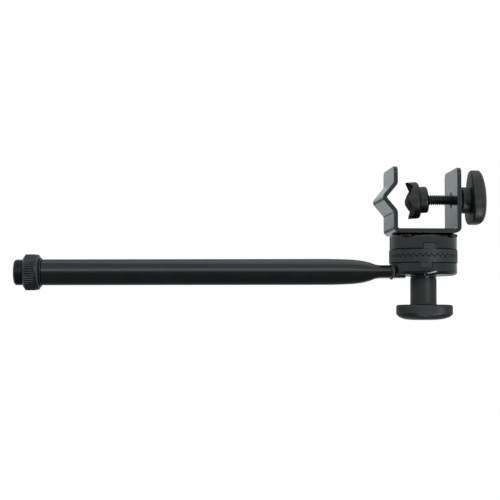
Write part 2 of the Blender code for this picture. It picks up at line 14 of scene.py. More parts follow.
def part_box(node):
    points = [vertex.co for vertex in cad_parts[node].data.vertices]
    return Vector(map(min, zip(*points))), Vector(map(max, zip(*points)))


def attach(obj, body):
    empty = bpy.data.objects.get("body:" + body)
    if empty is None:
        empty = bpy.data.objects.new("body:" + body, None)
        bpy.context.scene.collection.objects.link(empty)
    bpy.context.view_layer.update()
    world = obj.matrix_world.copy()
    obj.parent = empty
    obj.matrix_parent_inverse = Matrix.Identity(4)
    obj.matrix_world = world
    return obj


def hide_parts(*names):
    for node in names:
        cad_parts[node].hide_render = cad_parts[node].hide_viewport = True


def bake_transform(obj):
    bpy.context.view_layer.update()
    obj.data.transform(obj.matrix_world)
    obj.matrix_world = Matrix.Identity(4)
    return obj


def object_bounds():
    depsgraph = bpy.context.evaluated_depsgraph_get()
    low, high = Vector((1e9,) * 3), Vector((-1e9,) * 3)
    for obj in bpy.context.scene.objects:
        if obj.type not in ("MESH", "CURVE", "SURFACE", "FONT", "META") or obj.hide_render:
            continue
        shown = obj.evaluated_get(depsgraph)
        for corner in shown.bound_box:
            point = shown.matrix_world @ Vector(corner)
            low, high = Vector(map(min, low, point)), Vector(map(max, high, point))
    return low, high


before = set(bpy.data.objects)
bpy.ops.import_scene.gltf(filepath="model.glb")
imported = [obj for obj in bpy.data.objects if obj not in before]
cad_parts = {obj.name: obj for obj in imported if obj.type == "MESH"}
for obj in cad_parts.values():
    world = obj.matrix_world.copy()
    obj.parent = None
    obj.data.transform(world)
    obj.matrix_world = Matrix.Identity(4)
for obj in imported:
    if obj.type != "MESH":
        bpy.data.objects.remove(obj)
cad_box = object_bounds()

MM = 0.001
INCH = 25.4 * MM
GAP = 0.3 * MM

# Bracket
V_HALF_ANGLE = math.radians(50)
SHEET = 2.5 * MM
SHEET_EDGE = 0.35 * MM
BRACKET_WIDTH = 1.75 * INCH
THROAT = 35.7 * MM
V_DEPTH = 6.7 * MM
SCREW_HEIGHT = 21.0 * MM
LEFT_ARM_TOP = 39.7 * MM
RIGHT_ARM_TOP = 39.1 * MM
BEND_R = 2.2 * MM
V_BEND_R = 3.0 * MM
V_TIP_R = 1.9 * MM
ARM_CORNER_R = 4.0 * MM
CLUTCH_OFFSET = 0.7 * MM

# Beads under the bracket: their middles round the cup and their reach to both sides, in degrees
BRACKET_BEADS = (41, 127, 233, 319)
BRACKET_BEAD_REACH = 9
BRACKET_BEAD_RIPPLE = 1.3 * MM

# Clutch, measured down from its seat
CUP_WALL = 1.6 * MM
CUP_CORNER_R = 2.0 * MM
CUP_LIP = 0.35 * MM
CUP_STEPS = 144
UPPER_RIM = 9.4 * MM
TOOTH_PLANE = 13.3 * MM
LOWER_RIM = 17.65 * MM
CLUTCH_DEPTH = 24.8 * MM
DISC_R = 20.7 * MM
DISC_EDGE = 0.3 * MM
TEETH = 36
TOOTH_HEIGHT = 2.0 * MM
TOOTH_INNER_R = 13.0 * MM
TOOTH_CREST = 0.24
TOOTH_EDGE = 0.15 * MM
TOOTH_BAND = 0.5 * MM
STEPS_PER_TOOTH = 8
SPRING_POCKET = 2.6 * MM
SPRING_WIRE_R = 0.6 * MM
SPRING_COIL_R = 6.9 * MM
SPRING_TURNS = 3.5
SPRING_STEPS = 168
SPRING_SIDES = 12
KEY_WIDTH = 7.2 * MM
KEY_TURN = math.radians(1.8)
KEY_HEIGHT = 3.2 * MM
ARM_REST_ANGLE = math.radians(-6)
BOLT_R = 0.15625 * INCH
WASHER_R = 7.9 * MM
WASHER_THICKNESS = 1.0 * MM
WASHER_EDGE = 0.2 * MM

# Knobs
KNOB_R = 18.3 * MM
KNOB_BARREL_R = 7.97 * MM
KNOB_HEAD_DEPTH = 9.0 * MM
KNOB_FILLET = 1.2 * MM
KNOB_CORNER = 1.8 * MM
KNOB_SIDE = 5.7 * MM
KNOB_CROWN_EDGE = 1.5 * MM
KNOB_BARREL_EDGE = 0.3 * MM
KNOB_BACK_EDGE = 1.3 * MM
KNOB_FACE_EDGE = 1.2 * MM
KNOB_STEPS = 180
CROWN_STEPS = 12
LOBES = 3
LOBE_HEIGHT = 0.2
FIRST_LOBE = math.radians(90)
CLUTCH_KNOB_NECK = 42.7 * MM
CLUTCH_KNOB_BORE_END = 48.0 * MM
CLAMP_KNOB_BACK = 23.6 * MM
CLAMP_KNOB_NECK = 28.4 * MM
INSERT_R = 5.7 * MM
INSERT_LENGTH = 11.0 * MM

# Clamp screw and jaw, measured along X from the clutch axis
SCREW_R = 0.125 * INCH
SCREW_PITCH = INCH / 20
NOSE_R = 2.2 * MM
NOSE_LENGTH = 5.6 * MM
GROOVE_R = 1.7 * MM
RETAINER_R = 4.3 * MM
SCREW_HEAD_FLATS = 0.4375 * INCH
SCREW_HEAD_HEIGHT = 4.2 * MM
SCREW_HEAD_INSET = 2.0 * MM
NOSE_TIP_EDGE = 0.5 * MM
SCREW_EDGE = 0.15 * MM
NUT_R = 6.3 * MM
NUT_SHANK_R = 4.6 * MM
NUT_HEIGHT = 3.2 * MM
NUT_EDGE = 0.4 * MM
NUT_SHANK_EDGE = 0.2 * MM
NUT_SHANK_INSET = 0.1 * MM
JAW_PIVOT = -2.6 * MM
JAW_REACH = 7.2 * MM
JAW_FLANGE_LENGTH = 7.3 * MM
JAW_HUB_LENGTH = 5.1 * MM
JAW_FLANGE_R = 11.1 * MM
JAW_HUB_R = 8.0 * MM
JAW_FLANGE_EDGE = 1.8 * MM
JAW_NECK_EDGE = 0.5 * MM
JAW_HUB_EDGE = 1.3 * MM
JAW_BORE_EDGE = 0.3 * MM
JAW_CROWN_EDGE = 0.35 * MM
JAW_WEB = 2.5 * MM
JAW_GROOVE_DEPTH = 3.6 * MM
JAW_GROOVE_TILT = math.radians(43)
JAW_TILT = math.radians(4.3)
JAW_TILT_AXIS = (0, -0.94, -0.35)

# Arm, measured along it from the clutch axis. SQUASH has distances and the tube's half heights there, in mm.
TUBE_R = 0.3125 * INCH
TUBE_WALL = 1.5 * MM
TUBE_END = 232.0 * MM
TUBE_RIM = 0.4 * MM
TUBE_RIM_STEP = 0.1 * MM
ARM_DROP = 22.5 * MM
TONGUE_REACH = 11.0 * MM
SQUASH = ((26.0, 3.75), (29.0, 4.15), (32.2, 5.4), (38.2, 6.85), (44.3, 7.5), (50.3, 7.75), (58.0, 7.9375))
SQUASH_LEAD = 2 * MM
SQUASH_RUN = 34 * MM
SQUASH_STEPS = 48
COPE_HEIGHT = 10 * MM
STUD_R = 0.3125 * INCH
STUD_PITCH = INCH / 27
STUD_END = 248.9 * MM
STUD_CHAMFER = 1.0 * MM
COLLAR_R = 8.8 * MM
COLLAR_LENGTH = 0.8 * MM
COLLAR_EDGE = 0.2 * MM
SPIGOT_LENGTH = 14.0 * MM
SPIGOT_EDGE = 0.5 * MM
THREAD_RELIEF = 0.1 * MM
RING_R = 11.0 * MM
RING_START = 233.4 * MM
RING_END = 243.4 * MM
RING_KNURLS = 44
KNURL_DEPTH = 0.45 * MM
KNURL_FADE = 0.35 * MM
STEPS_PER_KNURL = 8
RING_RIM = 2.4 * MM
RING_NOSE = 1.5 * MM
RING_RIM_STEP = 0.2 * MM
RING_RIM_EDGE = 1.2 * MM
KNURL_BAND = 2.0 * MM

# Weld beads. An arm bead wraps the tube's flattened side from a first angle upwards, in degrees.
WELD_R = 1.1 * MM
BEAD_STEPS = 72
BEAD_SIDES = 20
BEAD_SIDEWAYS = Vector((0.3, 0.2, 1))
RIPPLE_DEPTH = 0.1
RIPPLE_SLANT = 0.3
LUMP_DEPTH = 0.14
ARM_BEAD_R = 1.3 * WELD_R
ARM_BEAD_RIPPLE = 1.7 * MM
ARM_BEAD_START = -50
ARM_BEAD_TURN = 7
ARM_BEAD_POINTS = 13

# A thread's profile: places along one pitch, and how far out from root to crest each of them is
THREAD_PROFILE = ((0.0, 0.0), (0.16, 0.0), (0.5, 1.0), (0.66, 1.0))
THREAD_DEPTH = 0.6134
SCREW_THREAD_STEPS = 48
STUD_THREAD_STEPS = 72

ROUND = 96
SHARP = math.radians(38)
TINY = 1e-6

# Places in the row frame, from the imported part
cup_low, cup_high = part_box("upper_cup")
CUP_R = (cup_high.x - cup_low.x) / 2
SEAT = Vector(((cup_low.x + cup_high.x) / 2, 0, cup_high.z))
BOSS_R = CUP_R - CUP_WALL - GAP
AT_SEAT = Matrix.Translation(SEAT)
AT_ARM = AT_SEAT @ Matrix.Rotation(ARM_REST_ANGLE, 4, "Z")
Z_TO_X = Matrix(((0, 0, 1, 0), (1, 0, 0, 0), (0, 1, 0, 0), (0, 0, 0, 1)))
AT_SCREW = Matrix.Translation((SEAT.x, 0, 0)) @ Z_TO_X
AT_STUD = AT_ARM @ Matrix.Translation((0, 0, -ARM_DROP)) @ Z_TO_X

# Camera
CAMERA_PLACE = (-0.17317, -1.13658, -0.09278)
CAMERA_HEADING = math.radians(4.06)
CAMERA_PITCH = math.radians(3.118)
CAMERA_LENS = 136.35
CAMERA_SENSOR = 36.0

# Light of the room in front of the object and behind it, by the height that it comes from, in degrees
FRONT_LIGHT = ((-90, 0.17), (-2, 0.17), (3, 0.85), (30, 0.95), (90, 0.6))
BACK_LIGHT = (
    (-90, 0.17), (-30, 0.3), (-14, 0.75), (-6, 0.7), (-4, 0.22),
    (0.5, 0.22), (3, 0.72), (12, 0.7), (45, 0.45), (90, 0.6),
)  # fmt: skip
ROOM_TINT = (0.9, 0.98, 1.0)
ROOM_BLEND = 0.25
FLOOR_DROP = 0.22
FLOOR_SIZE = (9.0, 9.0)

# Lamps, with their side lengths and their power in watts. Only gloss sees the glint.
FRONT_SOFTBOX_YZ = (-1.5, 0.5)
FRONT_SOFTBOX_SIZE = (2.2, 0.35)
FRONT_SOFTBOX_POWER = 3.2
TOP_SOFTBOX_PLACE = (0.1, 0.1, 1.1)
TOP_SOFTBOX_SIZE = (1.0, 1.0)
TOP_SOFTBOX_POWER = 2.0
GLINT_XY = (0.13, -0.19)
GLINT_DROP = 0.16
GLINT_SIZE = (0.05, 0.45)
GLINT_POWER = 0.9

# A grey card behind the object, which only its gloss sees
CARD_SIZE = (0.7, 0.5)
CARD_PLACE = Matrix.Translation((-0.662, 2.0, -0.085)) @ Matrix.Rotation(math.pi / 2, 4, "X")


# --- outlines and meshes ---------------------------------------------


def fillet(corners, steps=5):
    """A closed outline's points. A corner of (a, b, radius) becomes an arc, one of (a, b) stays sharp."""
    points = []
    for k, corner in enumerate(corners):
        here = Vector(corner[:2])
        if len(corner) == 2:
            points.append(here)
            continue
        before = (Vector(corners[k - 1][:2]) - here).normalized()
        after = (Vector(corners[(k + 1) % len(corners)][:2]) - here).normalized()
        half = before.angle(after) / 2
        centre = here + (before + after).normalized() * corner[2] / math.sin(half)
        start = here + before * corner[2] / math.tan(half) - centre
        turn = start.angle_signed(here + after * corner[2] / math.tan(half) - centre)
        points += [centre + Matrix.Rotation(-turn * step / steps, 2) @ start for step in range(steps + 1)]
    return points


def to_mesh(name, bm):
    """A mesh from a bmesh, with its faces pointing out."""
    bmesh.ops.recalc_face_normals(bm, faces=bm.faces)
    mesh = bpy.data.meshes.new(name)
    bm.to_mesh(mesh)
    bm.free()
    return mesh


def skin(name, loops):
    """A closed surface over a closed run of equally long loops. A loop of one point closes like a cone."""
    bm = bmesh.new()
    rings = [[bm.verts.new(point) for point in loop] for loop in loops]
    count = max(len(ring) for ring in rings)
    for ring, following in zip(rings, rings[1:] + rings[:1]):
        for k in range(count):
            corners = [ring[k % len(ring)], ring[(k + 1) % len(ring)]]
            corners += [following[(k + 1) % len(following)], following[k % len(following)]]
            corners = list(dict.fromkeys(corners))
            if len(corners) > 2:
                bm.faces.new(corners)
    return to_mesh(name, bm)


def revolve(name, outline, steps=ROUND, shape=None):
    """Turns a closed outline of (radius, height) about Z. shape(radius, height, angle) may bend it."""
    loops = []
    for radius, height in outline:
        loop = []
        for k in range(steps if radius > 0 else 1):
            angle = math.tau * k / steps
            r, h = shape(radius, height, angle) if shape else (radius, height)
            loop.append((r * math.cos(angle), r * math.sin(angle), h))
        loops.append(loop)
    return skin(name, loops)


def prism(name, outline, low, high, order):
    """Extrudes a closed outline. order(a, b, t) puts an outline's point (a, b) at the height t in space."""
    bm = bmesh.new()
    ends = [[bm.verts.new(order(a, b, t)) for a, b in outline] for t in (low, high)]
    for end in ends:
        bm.faces.new(end)
    for k in range(len(outline)):
        following = (k + 1) % len(outline)
        bm.faces.new((ends[0][k], ends[0][following], ends[1][following], ends[1][k]))
    return to_mesh(name, bm)


def combine(mesh, tool_mesh, operation="DIFFERENCE"):
    """The mesh after an exact Boolean with another mesh in the same frame."""
    target = bpy.data.objects.new(mesh.name, mesh)
    tool = bpy.data.objects.new("tool", tool_mesh)
    for item in (target, tool):
        bpy.context.scene.collection.objects.link(item)
    step = target.modifiers.new("combine", "BOOLEAN")
    step.operation = operation
    step.object = tool
    step.solver = "EXACT"
    graph = bpy.context.evaluated_depsgraph_get()
    result = bpy.data.meshes.new_from_object(target.evaluated_get(graph), depsgraph=graph)
    for item in (target, tool):
        bpy.data.objects.remove(item)
    result.name = mesh.name
    return result


def soften(mesh, width):
    """Rounds the sharp edges, and gives the rounded strips the mesh's second finish."""
    bm = bmesh.new()
    bm.from_mesh(mesh)
    bm.normal_update()
    edges = [edge for edge in bm.edges if edge.calc_face_angle(0) > SHARP]
    size = {"offset": width, "segments": 3, "profile": 0.5, "clamp_overlap": True}
    bmesh.ops.bevel(bm, geom=edges, affect="EDGES", material=1, **size)
    bm.to_mesh(mesh)
    bm.free()


def join(*meshes):
    """Several closed bodies in one mesh."""
    bm = bmesh.new()
    for mesh in meshes:
        bm.from_mesh(mesh)
    return to_mesh(meshes[0].name, bm)


def thread(name, major, pitch, low, high, steps, end_chamfer=0.0):
    """A threaded bar along Z: each row of points follows the helix, so the crests and flanks stay crisp."""
    minor = major - THREAD_DEPTH * pitch
    per_pitch = len(THREAD_PROFILE)
    rows = (int((high - low) / pitch) + 3) * per_pitch
    bm = bmesh.new()

    def point(row, k):
        share, level = THREAD_PROFILE[row % per_pitch]
        height = low - pitch + pitch * (row // per_pitch + share + k / steps)
        crest = minor + (major - minor) * level
        crest = min(crest, major + high - end_chamfer - height) if end_chamfer else crest
        if not low < height < high:
            crest = minor if end_chamfer < major - minor else major - end_chamfer
        height = min(max(height, low), high)
        angle = math.tau * k / steps
        return crest * math.cos(angle), crest * math.sin(angle), height

    grid = [[bm.verts.new(point(row, k)) for k in range(steps)] for row in range(rows)]
    for row in range(rows - 1):
        for k in range(steps):
            following = (row, k + 1) if k + 1 < steps else (row + per_pitch, 0)
            if following[0] + 1 >= rows:
                continue
            across = grid[following[0]][following[1]], grid[following[0] + 1][following[1]]
            bm.faces.new((grid[row][k], across[0], across[1], grid[row + 1][k]))
    bmesh.ops.remove_doubles(bm, verts=bm.verts, dist=1e-7)
    bmesh.ops.delete(bm, geom=[edge for edge in bm.edges if not edge.link_faces], context="EDGES")
    bmesh.ops.delete(bm, geom=[vert for vert in bm.verts if not vert.link_faces], context="VERTS")
    bmesh.ops.holes_fill(bm, edges=[edge for edge in bm.edges if edge.is_boundary], sides=0)
    return to_mesh(name, bm)


def bead(name, points, radius, ripple, seed):
    """A weld bead along points: overlapping ripples, a little uneven, closed at both ends."""
    path = [Vector(point) for point in points]
    lengths = [0.0]
    for before, after in zip(path, path[1:]):
        lengths.append(lengths[-1] + (after - before).length)

    def along(distance):
        k = max(k for k in range(len(path) - 1) if lengths[k] <= distance)
        share = (distance - lengths[k]) / (lengths[k + 1] - lengths[k])
        return path[k].lerp(path[k + 1], share)

    loops = []
    for step in range(BEAD_STEPS + 1):
        part = step / BEAD_STEPS
        distance = lengths[-1] * part
        ahead = along(min(distance + ripple / 4, lengths[-1])) - along(max(distance - ripple / 4, 0))
        side = ahead.cross(BEAD_SIDEWAYS).normalized()
        up = side.cross(ahead).normalized()
        closing = math.sqrt(max(1 - (2 * part - 1) ** 6, 0))
        loop = []
        for k in range(BEAD_SIDES if closing > 0 else 1):
            angle = math.tau * k / BEAD_SIDES
            phase = (distance / ripple + RIPPLE_SLANT * math.cos(angle)) % 1
            swell = 1 - RIPPLE_DEPTH + RIPPLE_DEPTH * math.sin(math.pi * phase) ** 0.6
            spot = Vector((distance / ripple, math.cos(angle), math.sin(angle) + seed))
            size = closing * (swell - LUMP_DEPTH * abs(noise.noise(spot)))
            outward = side * math.cos(angle) + up * math.sin(angle)
            loop.append(along(distance) + outward * radius * size)
        loops.append(loop)
    return skin(name, loops)


def add_piece(name, mesh, place, finishes):
    """Puts a mesh in the scene as a smooth object. Faces of the mesh's second finish take the second one."""
    piece = bpy.data.objects.new(name, mesh)
    piece.matrix_world = place
    bpy.context.scene.collection.objects.link(piece)
    mesh.materials.clear()
    for finish in finishes:
        mesh.materials.append(finish)
    mesh.shade_smooth()
    mesh.set_sharp_from_angle(angle=SHARP)
    piece.modifiers.new("normals", "WEIGHTED_NORMAL").keep_sharp = True
    return piece


def belongs(piece, body, slot, *nodes):
    """Says which body a piece rides on and which CAD nodes it stands for. The slot is not used."""
    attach(piece, body)
    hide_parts(*nodes)


# --- finishes --------------------------------------------------------


class Finish:
    """A Principled material with its colour, roughness and relief from noise in the piece's own frame."""

    def __init__(self, name, metallic=0.0, specular=0.5):
        self.made = bpy.data.materials.new(name)
        self.made.use_nodes = True
        self.tree = self.made.node_tree
        self.shader = self.tree.nodes["Principled BSDF"]
        self.shader.inputs["Metallic"].default_value = metallic
        self.shader.inputs["Specular IOR Level"].default_value = specular
        self.place = self.tree.nodes.new("ShaderNodeTexCoord").outputs["Object"]
        self.relief = None

    def speckle(self, size, detail=3.0, roughness=0.5, stretch=(1, 1, 1)):
        """Noise whose lumps are about size across, stretched along an axis where its number is above 1."""
        mapping = self.tree.nodes.new("ShaderNodeMapping")
        mapping.inputs["Scale"].default_value = [1 / (size * s) for s in stretch]
        self.tree.links.new(self.place, mapping.inputs["Vector"])
        texture = self.tree.nodes.new("ShaderNodeTexNoise")
        texture.inputs["Scale"].default_value = 1.0
        texture.inputs["Detail"].default_value = detail
        texture.inputs["Roughness"].default_value = roughness
        self.tree.links.new(mapping.outputs["Vector"], texture.inputs["Vector"])
        return texture.outputs["Fac"]

    def cells(self, size):
        """Rounded cells, as a moulded or shot-blasted grain has."""
        texture = self.tree.nodes.new("ShaderNodeTexVoronoi")
        texture.feature = "SMOOTH_F1"
        texture.inputs["Scale"].default_value = 1 / size
        texture.inputs["Smoothness"].default_value = 0.6
        self.tree.links.new(self.place, texture.inputs["Vector"])
        return texture.outputs["Distance"]

    def rings(self, period):
        """Fine turning marks round Z. At a scale of 1 the wave texture has 20 / tau waves a metre."""
        texture = self.tree.nodes.new("ShaderNodeTexWave")
        texture.bands_direction = "Z"
        texture.inputs["Scale"].default_value = math.tau / 20 / period
        texture.inputs["Distortion"].default_value = 1.5
        texture.inputs["Detail Scale"].default_value = 2.0
        self.tree.links.new(self.place, texture.inputs["Vector"])
        return texture.outputs["Fac"]

    def colours(self, source, *stops):
        """Colour from a noise: stops are (place from 0 to 1, colour)."""
        ramp = self.tree.nodes.new("ShaderNodeValToRGB")
        while len(ramp.color_ramp.elements) < len(stops):
            ramp.color_ramp.elements.new(0.5)
        for element, (place, colour) in zip(ramp.color_ramp.elements, stops):
            element.position = place
            element.color = (*colour, 1.0)
        self.tree.links.new(source, ramp.inputs["Fac"])
        self.tree.links.new(ramp.outputs["Color"], self.shader.inputs["Base Color"])

    def roughness(self, source, low, high):
        """Roughness from a noise, whose middle range spans low to high."""
        node = self.tree.nodes.new("ShaderNodeMapRange")
        node.inputs["From Min"].default_value = 0.3
        node.inputs["From Max"].default_value = 0.7
        node.inputs["To Min"].default_value = low
        node.inputs["To Max"].default_value = high
        self.tree.links.new(source, node.inputs["Value"])
        self.tree.links.new(node.outputs["Result"], self.shader.inputs["Roughness"])

    def bump(self, source, depth):
        """Relief of a depth in metres. A second call adds to the first."""
        node = self.tree.nodes.new("ShaderNodeBump")
        node.inputs["Distance"].default_value = depth
        node.inputs["Strength"].default_value = 1.0
        self.tree.links.new(source, node.inputs["Height"])
        if self.relief:
            self.tree.links.new(self.relief, node.inputs["Normal"])
        self.relief = node.outputs["Normal"]
        self.tree.links.new(self.relief, self.shader.inputs["Normal"])


def gloss_enamel():
    """Stoved black enamel: a faint orange peel, dust nibs and a gloss that varies a little."""
    paint = Finish("gloss_enamel")
    paint.colours(paint.speckle(9 * MM), (0.3, (0.008, 0.0085, 0.009)), (0.7, (0.013, 0.0138, 0.0145)))
    paint.roughness(paint.speckle(4 * MM, 4.0), 0.13, 0.2)
    paint.bump(paint.speckle(1.8 * MM, 2.0), 0.004 * MM)
    paint.bump(paint.speckle(0.3 * MM, 1.0), 0.0003 * MM)
    return paint.made


def enamel_edge():
    """The same enamel where it draws thin over a sheared edge, with small rubbed spots of grey primer."""
    paint = Finish("enamel_edge")
    spots = paint.speckle(1.3 * MM, 5.0, 0.65)
    primer = (0.09, 0.092, 0.095)
    paint.colours(spots, (0.0, (0.012, 0.0125, 0.013)), (0.62, (0.02, 0.021, 0.022)), (0.74, primer))
    paint.roughness(spots, 0.22, 0.42)
    paint.bump(paint.speckle(0.5 * MM), 0.006 * MM)
    return paint.made


def weld_enamel():
    """Enamel over a weld bead: pitted and grainy under the gloss."""
    paint = Finish("weld_enamel")
    paint.colours(paint.speckle(1.5 * MM, 4.0), (0.3, (0.010, 0.0105, 0.011)), (0.7, (0.019, 0.020, 0.021)))
    paint.roughness(paint.speckle(1.0 * MM, 4.0), 0.2, 0.42)
    paint.bump(paint.speckle(0.5 * MM, 5.0, 0.6), 0.05 * MM)
    return paint.made


def satin_plastic():
    """Moulded glass-filled nylon: a fine spark-eroded grain with slightly polished patches."""
    plastic = Finish("satin_plastic", specular=0.42)
    plastic.colours(plastic.speckle(6 * MM), (0.3, (0.0155, 0.016, 0.0165)), (0.7, (0.023, 0.0235, 0.024)))
    plastic.roughness(plastic.speckle(3 * MM, 5.0, 0.6), 0.36, 0.5)
    plastic.bump(plastic.cells(0.42 * MM), 0.014 * MM)
    plastic.bump(plastic.speckle(0.18 * MM, 2.0), 0.004 * MM)
    return plastic.made


def clutch_nylon():
    """Moulded nylon of the toothed discs: greyer, with a faint flow of lighter streaks."""
    nylon = Finish("clutch_nylon_grain", specular=0.45)
    streaks = nylon.speckle(1.2 * MM, 4.0, 0.6, (4, 4, 1))
    nylon.colours(streaks, (0.3, (0.017, 0.0175, 0.018)), (0.7, (0.028, 0.029, 0.030)))
    nylon.roughness(nylon.speckle(2 * MM, 4.0), 0.38, 0.52)
    nylon.bump(nylon.cells(0.5 * MM), 0.010 * MM)
    return nylon.made


def black_oxide():
    """Blackened turned steel: tool marks round the axis, oily darker patches and thin grey rubs."""
    steel = Finish("black_oxide", metallic=0.75)
    patches = steel.speckle(2.5 * MM, 6.0, 0.6)
    rubbed = (0.11, 0.11, 0.115)
    steel.colours(patches, (0.3, (0.035, 0.036, 0.038)), (0.6, (0.06, 0.061, 0.064)), (0.8, rubbed))
    steel.roughness(patches, 0.3, 0.46)
    steel.bump(steel.rings(0.16 * MM), 0.0022 * MM)
    steel.bump(steel.speckle(0.3 * MM, 3.0), 0.003 * MM)
    return steel.made


def bright_zinc():
    """Zinc plate: a fine spangle, turning marks and dull fingerprints."""
    zinc = Finish("bright_zinc", metallic=1.0)
    spangle = zinc.speckle(1.0 * MM, 5.0, 0.6)
    zinc.colours(spangle, (0.3, (0.42, 0.43, 0.45)), (0.7, (0.62, 0.62, 0.63)))
    zinc.roughness(zinc.speckle(3 * MM, 4.0), 0.24, 0.42)
    zinc.bump(zinc.rings(0.2 * MM), 0.002 * MM)
    zinc.bump(spangle, 0.002 * MM)
    return zinc.made


def turned_brass():
    """Turned brass of the knob's thread insert, lightly tarnished."""
    brass = Finish("turned_brass", metallic=1.0)
    tarnish = brass.speckle(1.8 * MM, 5.0, 0.6)
    brass.colours(tarnish, (0.3, (0.50, 0.33, 0.13)), (0.7, (0.78, 0.58, 0.28)))
    brass.roughness(tarnish, 0.24, 0.4)
    brass.bump(brass.rings(0.18 * MM), 0.002 * MM)
    return brass.made


def pale_floor():
    """Smooth pale studio floor with a very slight mottle."""
    floor = Finish("pale_floor", specular=0.1)
    floor.colours(floor.speckle(0.4), (0.3, (0.90, 0.90, 0.90)), (0.7, (0.94, 0.94, 0.94)))
    floor.roughness(floor.speckle(0.1), 0.75, 0.85)
    floor.shader.inputs["Emission Color"].default_value = (1.0, 1.0, 1.0, 1.0)
    floor.shader.inputs["Emission Strength"].default_value = 0.45
    return floor.made


def grey_card():
    """Matt grey board."""
    card = Finish("grey_card", specular=0.1)
    card.colours(card.speckle(0.05), (0.3, (0.26, 0.27, 0.28)), (0.7, (0.3, 0.31, 0.32)))
    card.roughness(card.speckle(0.1), 0.8, 0.9)
    return card.made


# --- bracket ---------------------------------------------------------


def bent_strip(path, radii, thickness, bend_steps=14):
    """The outline of a strip of sheet bent along a path, each corner rounded to its own middle radius."""
    middle = [(Vector(path[0]), (Vector(path[1]) - Vector(path[0])).normalized())]
    for before, corner, after, radius in zip(path, path[1:], path[2:], radii):
        incoming = (Vector(corner) - Vector(before)).normalized()
        outgoing = (Vector(after) - Vector(corner)).normalized()
        turn = incoming.angle_signed(outgoing)
        side = Vector((-incoming.y, incoming.x)) * (-1 if turn > 0 else 1)
        centre = Vector(corner) - incoming * radius * math.tan(abs(turn) / 2) + side * radius
        for k in range(bend_steps + 1):
            turned = Matrix.Rotation(-turn * k / bend_steps, 2)
            middle.append((centre - turned @ (side * radius), turned @ incoming))
    middle.append((Vector(path[-1]), (Vector(path[-1]) - Vector(path[-2])).normalized()))
    left = [point + Vector((-ahead.y, ahead.x)) * thickness / 2 for point, ahead in middle]
    right = [point - Vector((-ahead.y, ahead.x)) * thickness / 2 for point, ahead in middle]
    return [tuple(point) for point in left + right[::-1]]


def round_arm_corners(mesh):
    """Rounds the four upper corners of the bracket's two arms."""
    bm = bmesh.new()
    bm.from_mesh(mesh)
    corners = []
    for edge in bm.edges:
        start = edge.verts[0].co
        run = start - edge.verts[1].co
        if abs(run.y) < TINY and abs(run.z) < TINY and start.z > RIGHT_ARM_TOP - MM:
            corners.append(edge)
    bmesh.ops.bevel(bm, geom=corners, offset=ARM_CORNER_R, segments=12, profile=0.5, affect="EDGES")
    bm.to_mesh(mesh)
    bm.free()


def make_bracket(paint, edge_paint):
    """The bent strip, with the hole for the clamp screw's nut cut through its right arm."""
    wall = THROAT / 2 + SHEET / 2
    tip = THROAT / 2 + V_DEPTH + SHEET / 2 / math.sin(V_HALF_ANGLE)
    rise = (tip - wall) * math.tan(V_HALF_ANGLE)
    path = [
        (-wall, LEFT_ARM_TOP),
        (-wall, SCREW_HEIGHT + rise),
        (-tip, SCREW_HEIGHT),
        (-wall, SCREW_HEIGHT - rise),
        (-wall, SHEET / 2),
        (wall, SHEET / 2),
        (wall, RIGHT_ARM_TOP),
    ]
    outline = bent_strip(path, (V_BEND_R, V_TIP_R, V_BEND_R, BEND_R, BEND_R), SHEET)
    half = BRACKET_WIDTH / 2
    mesh = prism("bent_bracket", outline, -half, half, lambda a, b, t: (a - CLUTCH_OFFSET, t, b))
    round_arm_corners(mesh)
    soften(mesh, SHEET_EDGE)
    low, high = THROAT / 2 - CLUTCH_OFFSET, THROAT / 2 - CLUTCH_OFFSET + SHEET
    hole_r, lip = NUT_SHANK_R + GAP, SHEET_EDGE
    outline = [(0, low - MM), (hole_r + lip + MM, low - MM), (hole_r, low + lip), (hole_r, high - lip)]
    outline += [(hole_r + lip + MM, high + MM), (0, high + MM)]
    hole = revolve("hole", outline, 48)
    hole.transform(Matrix.Translation((0, 0, SCREW_HEIGHT)) @ Z_TO_X)
    mesh = combine(mesh, hole)
    bracket = add_piece("bent_bracket", mesh, AT_SEAT, (paint, edge_paint))
    belongs(bracket, "clamp", "gloss_black_paint", "clamp_bracket")


def make_bracket_welds(paint):
    """Four short beads between the bracket's base and the upper cup."""
    reach = CUP_R + GAP + WELD_R
    for number, middle in enumerate(BRACKET_BEADS, 1):
        sweeps = range(-BRACKET_BEAD_REACH, BRACKET_BEAD_REACH + 1, 3)
        angles = [math.radians(middle + sweep) for sweep in sweeps]
        points = [(reach * math.cos(a), reach * math.sin(a), -GAP - WELD_R) for a in angles]
        mesh = bead(f"bracket_bead_{number}", points, WELD_R, BRACKET_BEAD_RIPPLE, 3.1 * number)
        piece = add_piece(f"bracket_bead_{number}", mesh, AT_SEAT, (paint,))
        belongs(piece, "clamp", "gloss_black_paint", f"bracket_weld_{number}")


# --- clutch ----------------------------------------------------------


def key_block(extra, low, high, outer):
    """The block of a disc's key, or with extra its notch in the cup, a little round from the -Y side."""
    half = KEY_WIDTH / 2 + extra
    corners = [(-half, -outer), (half, -outer), (half, -BOSS_R + MM), (-half, -BOSS_R + MM)]
    block = prism("key", corners, low, high, lambda a, b, t: (a, b, t))
    block.transform(Matrix.Rotation(KEY_TURN, 4, "Z"))
    return block


